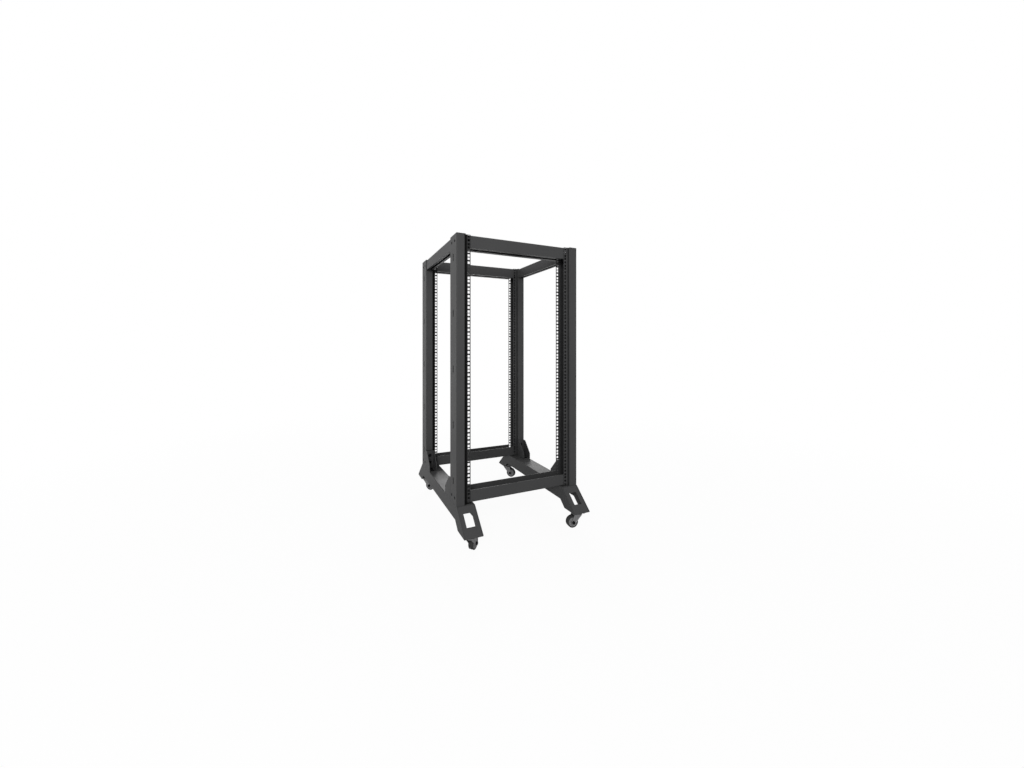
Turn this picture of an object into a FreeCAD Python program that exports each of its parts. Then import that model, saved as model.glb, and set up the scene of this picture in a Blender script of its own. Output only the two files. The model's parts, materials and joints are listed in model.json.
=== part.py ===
"""Open frame rack with four posts for 19 inch equipment, on four swivel castors.

Millimetres. X runs across the rack, Y from front to rear and Z up. The origin is on the floor,
under the middle of the frame. Each sub-part is one object with its own Label, and every size
comes from the sheet Sizes.
"""
import FreeCAD, Part
import math
import os
import re

import Sketcher

SIZES = {
    # equipment standard: unit height, hole rows in each unit, hole columns
    "unit_height": 44.45,
    "unit_count": 24,
    "hole_low": 6.35,
    "hole_middle": 22.225,
    "hole_high": 38.1,
    "hole_side": 9.5,
    "hole_inset": 7.55,
    "clear_width": 450,
    # frame
    "rack_depth": 538,
    "sheet": 2,
    "bend": 3,
    "slip": 0.2,
    # posts
    "post_depth": 78,
    "post_face": 39,
    "flange_width": 23.5,
    "post_step": 9,
    "slot_width": 8,
    "slot_length": 30,
    "slot_count": 5,
    "slot_pitch_units": 5,
    "screw_hole": 8,
    "screw_seat": 1.8,
    "screw_spacing": 36,
    # beams and top rails
    "beam_height": 48,
    "beam_inset": 3,
    "top_rail_width": 34,
    "tab_height": 36,
    # base rails and feet
    "base_sheet": 2.5,
    "rail_width": 77,
    "rail_height": 57,
    "foot_drop": 86,
    "foot_reach": 85,
    "foot_lip": 4,
    "foot_heel": 17,
    "shelf_length": 72,
    "ramp_recess": 1.5,
    "window_width": 36,
    "window_height": 37,
    "window_low": 27,
    # gussets
    "gusset_height": 89,
    "gusset_head": 16,
    "gusset_toe": 66,
    "gusset_lip": 30,
    # castors
    "castor_height": 70,
    "castor_trail": 24,
    "wheel_size": 50,
    "tyre_width": 20,
    "tyre_wall": 6,
    "tyre_chamfer": 2,
    "hub_width": 22,
    "hub_web": 6,
    "hub_boss": 9,
    "rim_width": 17,
    "rim_wall": 3,
    "axle_size": 8,
    "axle_head": 13,
    "axle_head_height": 4,
    "running_gap": 0.05,
    "swivel_gap": 0.4,
    "fork_gap": 24,
    "fork_sheet": 2.5,
    "leg_head": 14.5,
    "leg_side": 8.5,
    "leg_rise": 2.5,
    "leg_toe": 5.5,
    "leg_low": 7,
    "crown_size": 44,
    "race_size": 40,
    "race_height": 7,
    "kingpin_size": 10,
    "kingpin_head": 18,
    "kingpin_head_height": 2.5,
    "mount_length": 56,
    "mount_width": 50,
    "mount_sheet": 2.5,
    "mount_corner": 5,
    "mount_hole": 6.6,
    "mount_hole_length": 42,
    "mount_hole_width": 36,
    # how far each castor has turned about its kingpin, in degrees
    "turn_front_left": 42,
    "turn_front_right": 172,
    "turn_rear_left": -50,
    "turn_rear_right": -54,
}

# formulas that several sub-parts share
HALF_WIDTH = "(clear_width / 2 + flange_width + post_face)"
POST_MIDDLE = "(clear_width / 2 + flange_width + post_face / 2)"
POST_HEIGHT = "unit_count * unit_height"
RAIL_TOP = "(castor_height + foot_drop)"
SLOPE = "sqrt(foot_reach ^ 2 + (foot_drop - foot_lip) ^ 2)"
SLOPE_RISE = "(" + SLOPE + " / foot_reach)"
PIVOT_Y = "(rack_depth / 2 + foot_reach - shelf_length / 2)"
PIVOT_X = "(" + HALF_WIDTH + " - rail_width / 2)"
CROWN_TOP = "(castor_height - mount_sheet - race_height - swivel_gap)"

doc = FreeCAD.newDocument("open_frame_rack")
sheet = doc.addObject("Spreadsheet::Sheet", "Sizes")
for row, (alias, value) in enumerate(SIZES.items(), 1):
    sheet.set("A%d" % row, alias.replace("_", " "))
    sheet.set("B%d" % row, str(value))
    sheet.setAlias("B%d" % row, alias)
doc.recompute()

parts = []


def formula(text):
    """The same formula with every size read from the sheet."""
    return re.sub(r"[a-z_]+", lambda word: "Sizes." + word.group() if word.group() in SIZES
                  else word.group(), text)


def bind(item, prop, text):
    """Set one property of an object from a formula."""
    item.setExpression(prop, formula(text))


def new_body(label):
    body = doc.addObject("PartDesign::Body", label)
    body.Label = label
    parts.append(body)
    return body


def place(body, x="0", y="0", z="0", turn="0", axis=FreeCAD.Vector(0, 0, 1)):
    """Move a body, and turn it by degrees about an axis through its origin."""
    bind(body, ".Placement.Base.x", x)
    bind(body, ".Placement.Base.y", y)
    bind(body, ".Placement.Base.z", z)
    body.Placement.Rotation = FreeCAD.Rotation(axis, 1)
    bind(body, ".Placement.Rotation.Angle", turn)


def new_sketch(body, plane, name, offset=None, rise=None):
    """A sketch on one of the body's origin planes: XY, XZ or YZ, moved off it or up in it."""
    sketch = body.newObject("Sketcher::SketchObject", name)
    role = plane + "_Plane"
    base = [item for item in body.Origin.OriginFeatures if item.Role == role][0]
    sketch.AttachmentSupport = [(base, "")]
    sketch.MapMode = "FlatFace"
    if offset is not None:
        bind(sketch, ".AttachmentOffset.Base.z", offset)
    if rise is not None:
        bind(sketch, ".AttachmentOffset.Base.y", rise)
    return sketch


def fix_point(sketch, geo, end, x, y, start_x=1.0, start_y=1.0):
    """Hold one point of a sketch at formulas for its two coordinates."""
    for kind, text, start in (("DistanceX", x, start_x), ("DistanceY", y, start_y)):
        index = sketch.addConstraint(Sketcher.Constraint(kind, -1, 1, geo, end, start))
        bind(sketch, "Constraints[%d]" % index, text)


def polygon(sketch, points):
    """A closed outline through corners, each a pair of formulas."""
    first = sketch.GeometryCount
    count = len(points)
    corner = [FreeCAD.Vector(math.cos(2 * math.pi * k / count), math.sin(2 * math.pi * k / count), 0)
              for k in range(count)]
    for k in range(count):
        sketch.addGeometry(Part.LineSegment(corner[k], corner[(k + 1) % count]), False)
    for k in range(count):
        sketch.addConstraint(Sketcher.Constraint("Coincident", first + k, 2,
                                                 first + (k + 1) % count, 1))
    for k, (x, y) in enumerate(points):
        fix_point(sketch, first + k, 1, x, y)


def rectangle(sketch, x0, y0, x1, y1):
    polygon(sketch, [(x0, y0), (x1, y0), (x1, y1), (x0, y1)])


def circle(sketch, x, y, diameter):
    index = sketch.addGeometry(Part.Circle(FreeCAD.Vector(0, 0, 0), FreeCAD.Vector(0, 0, 1), 1), False)
    fix_point(sketch, index, 3, x, y)
    size = sketch.addConstraint(Sketcher.Constraint("Diameter", index, 2.0))
    bind(sketch, "Constraints[%d]" % size, diameter)


def pad(body, sketch, name, length, midplane=False, reverse=False):
    feature = body.newObject("PartDesign::Pad", name)
    feature.Profile = sketch
    feature.Midplane = midplane
    feature.Reversed = reverse
    bind(feature, "Length", length)
    return feature


def pocket(body, sketch, name, length=None, midplane=False, reverse=False):
    """A cut of a given length, or right through where none is given. It must remove something."""
    doc.recompute()
    before = body.Shape.Volume
    feature = body.newObject("PartDesign::Pocket", name)
    feature.Profile = sketch
    feature.Midplane = midplane
    feature.Reversed = reverse
    if length is None:
        feature.Type = "ThroughAll"
    else:
        bind(feature, "Length", length)
    doc.recompute()
    if body.Shape.Volume >= before - 1e-6:
        raise RuntimeError("%s of %s cuts nothing" % (name, body.Label))
    return feature


def revolve(body, sketch, name, axis="V_Axis"):
    """Turn a sketch about one of its own lines by a full turn."""
    feature = body.newObject("PartDesign::Revolution", name)
    feature.Profile = sketch
    feature.ReferenceAxis = (sketch, [axis])
    feature.Angle = 360
    return feature


def row_of(body, feature, name, axis, length, count):
    """Repeat a feature along one of the body's origin axes."""
    pattern = body.newObject("PartDesign::LinearPattern", name)
    pattern.Originals = [feature]
    line = [item for item in body.Origin.OriginFeatures if item.Role == axis + "_Axis"][0]
    pattern.Direction = (line, [""])
    bind(pattern, "Length", length)
    bind(pattern, "Occurrences", count)
    body.Tip = pattern
    return pattern


def mirrored(body, feature, name, plane):
    mirror = body.newObject("PartDesign::Mirrored", name)
    mirror.Originals = [feature]
    base = [item for item in body.Origin.OriginFeatures if item.Role == plane + "_Plane"][0]
    mirror.MirrorPlane = (base, [""])
    body.Tip = mirror
    return mirror


def round_edges(body, name, radius, chosen):
    """Fillet the edges of the body's tip for which chosen(edge) is true."""
    doc.recompute()
    tip = body.Tip
    names = ["Edge%d" % (k + 1) for k, edge in enumerate(tip.Shape.Edges) if chosen(edge)]
    if not names:
        raise RuntimeError("%s of %s finds no edge" % (name, body.Label))
    fillet = body.newObject("PartDesign::Fillet", name)
    fillet.Base = (tip, names)
    bind(fillet, "Radius", radius)
    return fillet


def countersink(body, name, depth):
    """Chamfer every round hole where it meets the outer face at the body's greatest X."""
    doc.recompute()
    tip = body.Tip
    face = tip.Shape.BoundBox.XMax
    names = ["Edge%d" % (k + 1) for k, edge in enumerate(tip.Shape.Edges)
             if edge.isClosed() and abs(edge.CenterOfMass.x - face) < 1e-6]
    if not names:
        raise RuntimeError("%s of %s finds no hole" % (name, body.Label))
    chamfer = body.newObject("PartDesign::Chamfer", name)
    chamfer.Base = (tip, names)
    bind(chamfer, "Size", depth)
    return chamfer


def runs_along(edge, axis):
    """True where a straight edge runs along an axis: 0 for X, 1 for Y, 2 for Z."""
    if len(edge.Vertexes) != 2 or not isinstance(edge.Curve, Part.Line):
        return False
    move = edge.Vertexes[1].Point - edge.Vertexes[0].Point
    return abs(abs(move[axis]) - move.Length) < 1e-6


# ---- posts ---------------------------------------------------------------------------------

def post(label, x_sign, y_sign):
    """One folded post: a web outside, a closed face at each end, and two stepped hole flanges.

    The section is drawn with the web at +X and is the same front and rear, so the left posts
    are this one turned by half a turn.
    """
    body = new_body(label)
    half = "post_depth / 2"
    web = HALF_WIDTH
    face = "(clear_width / 2 + flange_width)"
    edge = "clear_width / 2"
    low = "(post_depth / 2 - post_step)"
    outer = [(web, "-" + half), (web, half), (face, half), (face, low), (edge, low),
             (edge, low + " - sheet"), (face + " + sheet", low + " - sheet"),
             (face + " + sheet", half + " - sheet"), (web + " - sheet", half + " - sheet")]
    inner = [(x, "-(" + y + ")") for x, y in reversed(outer[2:])]
    section = new_sketch(body, "XY", label + "_section")
    polygon(section, outer + inner)
    pad(body, section, label + "_fold", POST_HEIGHT)

    round_edges(body, label + "_bends", "bend", lambda edge: runs_along(edge, 2)
                and abs(abs(edge.CenterOfMass.y) - SIZES["post_depth"] / 2) < 1e-6)

    holes = new_sketch(body, "XZ", label + "_unit_holes")
    for level in ("hole_low", "hole_middle", "hole_high"):
        rectangle(holes, edge + " + hole_inset - hole_side / 2", level + " - hole_side / 2",
                  edge + " + hole_inset + hole_side / 2", level + " + hole_side / 2")
    unit = pocket(body, holes, label + "_unit", "post_depth", midplane=True)
    row_of(body, unit, label + "_units", "Z", "(unit_count - 1) * unit_height", "unit_count")

    slot = new_sketch(body, "YZ", label + "_slot_outline",
                      rise="(unit_count - slot_pitch_units * (slot_count - 1)) * unit_height / 2")
    slot_outline(slot)
    cut = pocket(body, slot, label + "_slot", HALF_WIDTH + " + sheet", reverse=True)
    row_of(body, cut, label + "_slots", "Z", "(slot_count - 1) * slot_pitch_units * unit_height",
           "slot_count")

    screws = new_sketch(body, "YZ", label + "_screw_holes", rise="beam_inset + beam_height / 2")
    for y in ("-", ""):
        for height in ("0", POST_HEIGHT + " - 2 * beam_inset - beam_height"):
            circle(screws, y + "screw_spacing / 2", height, "screw_hole")
    pocket(body, screws, label + "_screws", HALF_WIDTH + " + sheet", reverse=True)
    countersink(body, label + "_screw_seats", "screw_seat")

    place(body, "0", ("-" if y_sign < 0 else "") + "(rack_depth - post_depth) / 2", RAIL_TOP,
          "0" if x_sign > 0 else "180")


def slot_outline(sketch):
    """An upright slot with round ends, centred on the origin of its sketch."""
    reach = (SIZES["slot_length"] - SIZES["slot_width"]) / 2
    radius = SIZES["slot_width"] / 2
    up = FreeCAD.Vector(0, 0, 1)
    for side in (-1, 1):
        sketch.addGeometry(Part.LineSegment(FreeCAD.Vector(side * radius, -reach, 0),
                                            FreeCAD.Vector(side * radius, reach, 0)), False)
    for level in (0, 1):
        round_end = Part.Circle(FreeCAD.Vector(0, reach * (2 * level - 1), 0), up, radius)
        start = math.pi * (1 - level)
        sketch.addGeometry(Part.ArcOfCircle(round_end, start, start + math.pi), False)
    for low, high in ((0, 1), (1, 0)):
        sketch.addConstraint(Sketcher.Constraint("Coincident", 2, 1 + low, low, 1))
        sketch.addConstraint(Sketcher.Constraint("Coincident", 3, 1 + high, low, 2))
    half = "(slot_length - slot_width) / 2"
    for line, side in ((0, "-"), (1, "")):
        for end, level in ((1, "-"), (2, "")):
            fix_point(sketch, line, end, side + "slot_width / 2", level + half,
                      (2 * line - 1) * radius, (2 * end - 3) * reach)
    for arc, level in ((2, "-"), (3, "")):
        index = sketch.addConstraint(Sketcher.Constraint("DistanceY", -1, 1, arc, 3,
                                                         (2 * arc - 5) * reach))
        bind(sketch, "Constraints[%d]" % index, level + half)


# ---- beams and rails -----------------------------------------------------------------------

def beam(label, y_sign, top):
    """A folded channel across the rack, between the flanges of two posts.

    The lower beams lie open side up and the upper ones open side down. An end tab is bent up
    at each end and bolted to the web of the post.
    """
    body = new_body(label)
    half = "((post_depth / 2) - post_step - sheet - slip)"
    reach = "2 * (" + HALF_WIDTH + " - sheet - slip)"
    section = new_sketch(body, "YZ", label + "_section")
    polygon(section, [("-" + half, "0"), (half, "0"), (half, "beam_height"),
                      (half + " - sheet", "beam_height"), (half + " - sheet", "sheet"),
                      ("-" + half + " + sheet", "sheet"), ("-" + half + " + sheet", "beam_height"),
                      ("-" + half, "beam_height")])
    pad(body, section, label + "_fold", reach, midplane=True)
    round_edges(body, label + "_bends", "bend", lambda edge: runs_along(edge, 0)
                and edge.CenterOfMass.z < 1e-6)
    tab = new_sketch(body, "YZ", label + "_tab_outline", "(" + reach + ") / 2")
    rectangle(tab, "-" + half + " + bend + slip", "sheet", half + " - bend - slip", "beam_height")
    wall = pad(body, tab, label + "_tab", "sheet", reverse=True)
    mirrored(body, wall, label + "_tabs", "YZ")
    level = RAIL_TOP + " + beam_inset"
    if top:
        level = RAIL_TOP + " + " + POST_HEIGHT + " - beam_inset"
    place(body, "0", ("-" if y_sign < 0 else "") + "(rack_depth - post_depth) / 2", level,
          "180" if top else "0", FreeCAD.Vector(0, 1, 0))


def top_rail(label, x_sign):
    """A folded channel from the front post to the rear one, open side down, with end tabs."""
    body = new_body(label)
    half = "top_rail_width / 2"
    length = "rack_depth - 2 * post_depth"
    section = new_sketch(body, "XZ", label + "_section")
    polygon(section, [("-" + half, "0"), (half, "0"), (half, "-beam_height"),
                      (half + " - sheet", "-beam_height"), (half + " - sheet", "-sheet"),
                      ("-" + half + " + sheet", "-sheet"),
                      ("-" + half + " + sheet", "-beam_height"), ("-" + half, "-beam_height")])
    pad(body, section, label + "_fold", length, midplane=True)
    round_edges(body, label + "_bends", "bend", lambda edge: runs_along(edge, 1)
                and edge.CenterOfMass.z > -1e-6)
    tab = new_sketch(body, "XZ", label + "_tab_outline", "(" + length + ") / 2")
    rectangle(tab, "-" + half + " + bend + slip", "-tab_height", half + " - bend - slip", "-sheet")
    wall = pad(body, tab, label + "_tab", "sheet", reverse=True)
    mirrored(body, wall, label + "_tabs", "XZ")
    side = "-" if x_sign < 0 else ""
    place(body, side + POST_MIDDLE, "0", RAIL_TOP + " + " + POST_HEIGHT + " - beam_inset")


def base_rail(label, x_sign):
    """A folded channel under two posts, open below, whose side walls run out into two feet."""
    body = new_body(label)
    end = "(rack_depth / 2)"
    tip = "(rack_depth / 2 + foot_reach)"
    low = "(" + RAIL_TOP + " - rail_height)"
    front = [(end, RAIL_TOP), (tip, "castor_height + foot_lip"), (tip, "castor_height"),
             (tip + " - shelf_length", "castor_height"), (end + " - foot_heel", low)]
    outline = new_sketch(body, "YZ", label + "_outline")
    polygon(outline, front + [("-(" + y + ")", z) for y, z in reversed(front)])
    pad(body, outline, label + "_blank", "rail_width", midplane=True)
    round_edges(body, label + "_bends", "bend", lambda edge: runs_along(edge, 1)
                and edge.Length > SIZES["rack_depth"] / 2
                and edge.CenterOfMass.z > SIZES["castor_height"] + SIZES["foot_drop"] - 1e-6)
    inside = new_sketch(body, "YZ", label + "_inside")
    under = "(" + RAIL_TOP + " - base_sheet)"
    over = "(" + RAIL_TOP + " + base_sheet)"
    side = [(end, under), (end, over), (tip + " + base_sheet", over), (tip + " + base_sheet", "0")]
    polygon(inside, side + [("-(" + y + ")", z) for y, z in reversed(side)])
    pocket(body, inside, label + "_hollow", "rail_width - 2 * base_sheet", midplane=True)
    place(body, ("-" if x_sign < 0 else "") + PIVOT_X)


def foot_bracket(label, x_sign, y_sign):
    """The sloped end plate of a foot, with its window, and the castor shelf bent under it."""
    body = new_body(label)
    end = "(rack_depth / 2)"
    tip = "(rack_depth / 2 + foot_reach)"
    width = "rail_width - 2 * base_sheet - 2 * slip"
    drop = "ramp_recess * " + SLOPE_RISE
    rise = "base_sheet * " + SLOPE_RISE
    head = RAIL_TOP + " - " + drop
    lip = "castor_height + foot_lip - " + drop
    outline = new_sketch(body, "YZ", label + "_outline")
    polygon(outline, [
        (end + " + slip", head), (tip, lip), (tip, "castor_height"),
        (tip + " - shelf_length", "castor_height"),
        (tip + " - shelf_length", "castor_height + base_sheet"),
        (tip + " - 2 * base_sheet", "castor_height + base_sheet"),
        (end + " + slip", head + " - " + rise)])
    pad(body, outline, label + "_fold", width, midplane=True)
    window = new_sketch(body, "XZ", label + "_window_outline")
    rectangle(window, "-window_width / 2", "castor_height + window_low",
              "window_width / 2", "castor_height + window_low + window_height")
    pocket(body, window, label + "_window", reverse=False)
    holes = new_sketch(body, "XY", label + "_castor_hole_outline")
    for x in ("-", ""):
        for y in (" - ", " + "):
            circle(holes, x + "mount_hole_width / 2", PIVOT_Y + y + "mount_hole_length / 2",
                   "mount_hole")
    pocket(body, holes, label + "_castor_holes", "castor_height + base_sheet + 1", reverse=True)
    place(body, ("-" if x_sign < 0 else "") + PIVOT_X, turn="180" if y_sign < 0 else "0")


def gusset(label, x_sign, y_sign):
    """A folded bracket on a base rail: its web against a post, its two cheeks cut to a slope."""
    body = new_body(label)
    face = "(rack_depth / 2 - post_depth)"
    outline = new_sketch(body, "YZ", label + "_outline")
    polygon(outline, [(face, "0"), (face, "gusset_height"),
                      (face + " - gusset_head", "gusset_height"),
                      (face + " - gusset_toe", "gusset_lip"), (face + " - gusset_toe", "0")])
    pad(body, outline, label + "_blank", "post_face", midplane=True)
    inside = new_sketch(body, "YZ", label + "_inside")
    web = face + " - base_sheet"
    rectangle(inside, web + " - gusset_toe", "base_sheet", web, "gusset_height + 1")
    pocket(body, inside, label + "_hollow", "post_face - 2 * base_sheet", midplane=True)
    place(body, ("-" if x_sign < 0 else "") + POST_MIDDLE, "0", RAIL_TOP,
          "180" if y_sign < 0 else "0")


# ---- castors -------------------------------------------------------------------------------

def castor_mount(label, place_at):
    """The fixed part of a castor: its plate, the bearing cup and the kingpin with its head."""
    body = new_body(label)
    plate = new_sketch(body, "XY", label + "_plate_outline", "castor_height - mount_sheet")
    rectangle(plate, "-mount_width / 2", "-mount_length / 2", "mount_width / 2", "mount_length / 2")
    for x in ("-", ""):
        for y in ("-", ""):
            circle(plate, x + "mount_hole_width / 2", y + "mount_hole_length / 2", "mount_hole")
    pad(body, plate, label + "_plate", "mount_sheet")
    round_edges(body, label + "_corners", "mount_corner", lambda edge: runs_along(edge, 2)
                and abs(abs(edge.CenterOfMass.x) - SIZES["mount_width"] / 2) < 1e-6)
    cup = new_sketch(body, "XZ", label + "_cup_section")
    top = "castor_height - mount_sheet"
    low = "castor_height - mount_sheet - race_height"
    pin_low = CROWN_TOP + " - fork_sheet - swivel_gap - kingpin_head_height"
    polygon(cup, [("0", pin_low), ("kingpin_head / 2", pin_low),
                  ("kingpin_head / 2", pin_low + " + kingpin_head_height"),
                  ("kingpin_size / 2", pin_low + " + kingpin_head_height"),
                  ("kingpin_size / 2", low), ("race_size / 2 - bend", low),
                  ("race_size / 2", low + " + bend"), ("race_size / 2", top), ("0", top)])
    revolve(body, cup, label + "_cup")
    place(body, *place_at)


def castor_fork(label, place_at):
    """The swivel part: a round crown with a hole for the kingpin, and two tapered legs."""
    body = new_body(label)
    crown = new_sketch(body, "XY", label + "_crown_outline", CROWN_TOP + " - fork_sheet")
    circle(crown, "0", "0", "crown_size")
    circle(crown, "0", "0", "kingpin_size + 2 * running_gap")
    pad(body, crown, label + "_crown", "fork_sheet")
    leg = new_sketch(body, "XZ", label + "_leg_outline", "fork_gap / 2")
    polygon(leg, [("-leg_head", CROWN_TOP), ("leg_head", CROWN_TOP),
                  ("castor_trail + leg_side", "wheel_size / 2 + leg_rise"),
                  ("castor_trail + leg_toe", "wheel_size / 2 - leg_low"),
                  ("castor_trail - leg_toe", "wheel_size / 2 - leg_low"),
                  ("castor_trail - leg_side", "wheel_size / 2 + leg_rise")])
    blade = pad(body, leg, label + "_leg", "fork_sheet")
    mirrored(body, blade, label + "_legs", "XZ")
    doc.recompute()
    hole = new_sketch(body, "XZ", label + "_axle_hole_outline")
    circle(hole, "castor_trail", "wheel_size / 2", "axle_size")
    pocket(body, hole, label + "_axle_hole", midplane=True)
    place(body, *place_at)


def castor_axle(label, place_at):
    """The axle bolt, with a round head outside each leg of the fork."""
    body = new_body(label)
    half = "(fork_gap / 2 + fork_sheet)"
    section = new_sketch(body, "YZ", label + "_section", "castor_trail")
    centre = "wheel_size / 2"
    polygon(section, [("-" + half + " - axle_head_height", centre),
                      (half + " + axle_head_height", centre),
                      (half + " + axle_head_height", centre + " + axle_head / 2"),
                      (half, centre + " + axle_head / 2"), (half, centre + " + axle_size / 2"),
                      ("-" + half, centre + " + axle_size / 2"),
                      ("-" + half, centre + " + axle_head / 2"),
                      ("-" + half + " - axle_head_height", centre + " + axle_head / 2")])
    revolve(body, section, label + "_bolt", "Edge1")
    place(body, *place_at)


def wheel_part(label, place_at, points):
    """A ring about the axle, from half of its section: axial place and radius."""
    body = new_body(label)
    section = new_sketch(body, "YZ", label + "_section", "castor_trail")
    centre = "wheel_size / 2"
    polygon(section, [(along, centre + " + " + radius) for along, radius in points])
    axis = section.addGeometry(Part.LineSegment(FreeCAD.Vector(-1, 0, 0), FreeCAD.Vector(1, 0, 0)), True)
    fix_point(section, axis, 1, "-hub_width", centre)
    fix_point(section, axis, 2, "hub_width", centre)
    revolve(body, section, label + "_turned", "Axis0")
    place(body, *place_at)


def castor_tyre(label, place_at):
    """The rubber ring of a wheel, chamfered on both sides of its tread."""
    half = "tyre_width / 2"
    outer = "wheel_size / 2"
    side = [(half, outer + " - tyre_wall"), (half, outer + " - tyre_chamfer"),
            (half + " - tyre_chamfer", outer)]
    wheel_part(label, place_at, side + [("-(" + along + ")", radius)
                                        for along, radius in reversed(side)])


def castor_hub(label, place_at):
    """The wheel centre: a rim inside the tyre, a thinner web and a boss on the axle."""
    rim = "(wheel_size / 2 - tyre_wall)"
    side = [("hub_width / 2", "axle_size / 2 + running_gap"), ("hub_width / 2", "hub_boss"),
            ("hub_web / 2", "hub_boss"), ("hub_web / 2", rim + " - rim_wall"),
            ("rim_width / 2", rim + " - rim_wall"), ("rim_width / 2", rim)]
    wheel_part(label, place_at, side + [("-(" + along + ")", radius)
                                        for along, radius in reversed(side)])


# ---- the whole rack ------------------------------------------------------------------------

SIDES = {"left": -1, "right": 1}
ENDS = {"front": -1, "rear": 1}

for end_name, y_sign in ENDS.items():
    for side_name, x_sign in SIDES.items():
        where = "_" + end_name + "_" + side_name
        post("post" + where, x_sign, y_sign)
        foot_bracket("foot_bracket" + where, x_sign, y_sign)
        gusset("gusset" + where, x_sign, y_sign)
        at = (("-" if x_sign < 0 else "") + PIVOT_X, ("-" if y_sign < 0 else "") + PIVOT_Y, "0")
        turned = at + ("turn" + where,)
        castor_mount("castor_mount" + where, at)
        castor_fork("castor_fork" + where, turned)
        castor_axle("castor_axle" + where, turned)
        castor_tyre("castor_tyre" + where, turned)
        castor_hub("castor_hub" + where, turned)
    beam("beam_" + end_name + "_top", y_sign, True)
    beam("beam_" + end_name + "_bottom", y_sign, False)

for side_name, x_sign in SIDES.items():
    top_rail("top_rail_" + side_name, x_sign)
    base_rail("base_rail_" + side_name, x_sign)

doc.recompute()
for item in doc.Objects:
    if "Invalid" in item.State or "Error" in item.State:
        raise RuntimeError("%s did not recompute: %s" % (item.Name, item.State))
for item in parts:
    if item.Shape.isNull() or not item.Shape.isValid() or not item.Shape.Solids:
        raise RuntimeError("%s has no sound shape" % item.Label)

os.makedirs("parts", exist_ok=True)
for item in parts:
    item.Shape.exportStep(os.path.join("parts", item.Label + ".step"))
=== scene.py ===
"""Dresses the open frame rack: its finishes, screws, castors and a plain studio stage."""
import json
import math

import bmesh
import bpy
from bpy.props import FloatProperty, FloatVectorProperty, IntProperty, PointerProperty
from mathutils import Matrix, Vector


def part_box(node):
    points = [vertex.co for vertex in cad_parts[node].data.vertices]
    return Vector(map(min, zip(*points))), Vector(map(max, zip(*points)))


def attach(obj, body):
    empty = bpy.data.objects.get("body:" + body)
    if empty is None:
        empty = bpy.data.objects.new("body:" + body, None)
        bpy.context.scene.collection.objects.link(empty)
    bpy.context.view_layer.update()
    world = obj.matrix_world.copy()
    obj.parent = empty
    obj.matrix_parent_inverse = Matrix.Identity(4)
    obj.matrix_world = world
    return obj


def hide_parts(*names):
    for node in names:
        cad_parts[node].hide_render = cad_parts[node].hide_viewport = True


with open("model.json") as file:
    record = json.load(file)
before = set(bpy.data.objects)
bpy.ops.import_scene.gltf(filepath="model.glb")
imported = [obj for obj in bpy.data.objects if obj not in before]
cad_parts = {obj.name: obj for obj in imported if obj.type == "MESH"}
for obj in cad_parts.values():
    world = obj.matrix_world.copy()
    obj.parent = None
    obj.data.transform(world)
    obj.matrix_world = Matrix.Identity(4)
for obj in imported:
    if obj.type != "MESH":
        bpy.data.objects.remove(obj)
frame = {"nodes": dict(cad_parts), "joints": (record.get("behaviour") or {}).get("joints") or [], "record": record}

bl_info = {
    "name": "Open frame rack",
    "version": (1, 0, 0),
    "blender": (4, 5, 0),
    "location": "3D View > Sidebar > Rack",
    "description": "Dresses a four post open frame rack on castors",
    "category": "Object",
}

MM = 0.001
# Edges that turn by more than this are drawn sharp.
SHARP_ANGLE = math.radians(35.0)
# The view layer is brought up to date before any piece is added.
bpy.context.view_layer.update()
ENDS = {"front": -1, "rear": 1}
SIDES = {"left": -1, "right": 1}
CORNERS = [(end, side) for end in ENDS for side in SIDES]
JOINTS = {joint["name"]: joint for joint in frame["joints"]}


# ---- node maths ------------------------------------------------------------------------------

class Wire:
    """One output socket of a material or geometry tree, with arithmetic on it."""

    def __init__(self, recipe, socket):
        self.recipe = recipe
        self.socket = socket

    def maths(self, operation, first, second=None):
        values = {0: first} if second is None else {0: first, 1: second}
        return self.recipe.node("ShaderNodeMath", {"operation": operation}, values)

    def __add__(self, other):
        return self.maths("ADD", self, other)

    def __radd__(self, other):
        return self.maths("ADD", other, self)

    def __sub__(self, other):
        return self.maths("SUBTRACT", self, other)

    def __rsub__(self, other):
        return self.maths("SUBTRACT", other, self)

    def __mul__(self, other):
        return self.maths("MULTIPLY", self, other)

    def __rmul__(self, other):
        return self.maths("MULTIPLY", other, self)

    def __truediv__(self, other):
        return self.maths("DIVIDE", self, other)

    def __rtruediv__(self, other):
        return self.maths("DIVIDE", other, self)

    def __abs__(self):
        return self.maths("ABSOLUTE", self)

    def least(self, other):
        """The smaller of two values."""
        return self.maths("MINIMUM", self, other)

    def most(self, other):
        """The larger of two values."""
        return self.maths("MAXIMUM", self, other)

    def clamped(self):
        """The value held between 0 and 1."""
        return self.recipe.node("ShaderNodeClamp", {}, {"Value": self})


class Recipe:
    """A node tree being filled, with one method that adds any node."""

    def __init__(self, tree):
        self.tree = tree

    def node(self, kind, settings, sockets, output=0):
        """Add a node: its settings first, then the values or links of its sockets."""
        made = self.tree.nodes.new(kind)
        for name, value in settings.items():
            setattr(made, name, value)
        for key, value in sockets.items():
            if isinstance(value, Wire):
                self.tree.links.new(value.socket, made.inputs[key])
            else:
                made.inputs[key].default_value = value
        return Wire(self, made.outputs[output]) if made.outputs else made

    def mix(self, factor, first, second):
        """A colour between two colours."""
        return self.node("ShaderNodeMix", {"data_type": "RGBA"},
                         {0: factor, 6: first, 7: second}, 2)

    def seen_directly(self):
        """1 for what the camera sees, also in gloss and through glass, and 0 for what lights."""
        rays = [self.node("ShaderNodeLightPath", {}, {}, kind)
                for kind in ("Is Camera Ray", "Is Glossy Ray", "Is Transmission Ray")]
        return (rays[0] + rays[1] + rays[2]).clamped()


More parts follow.
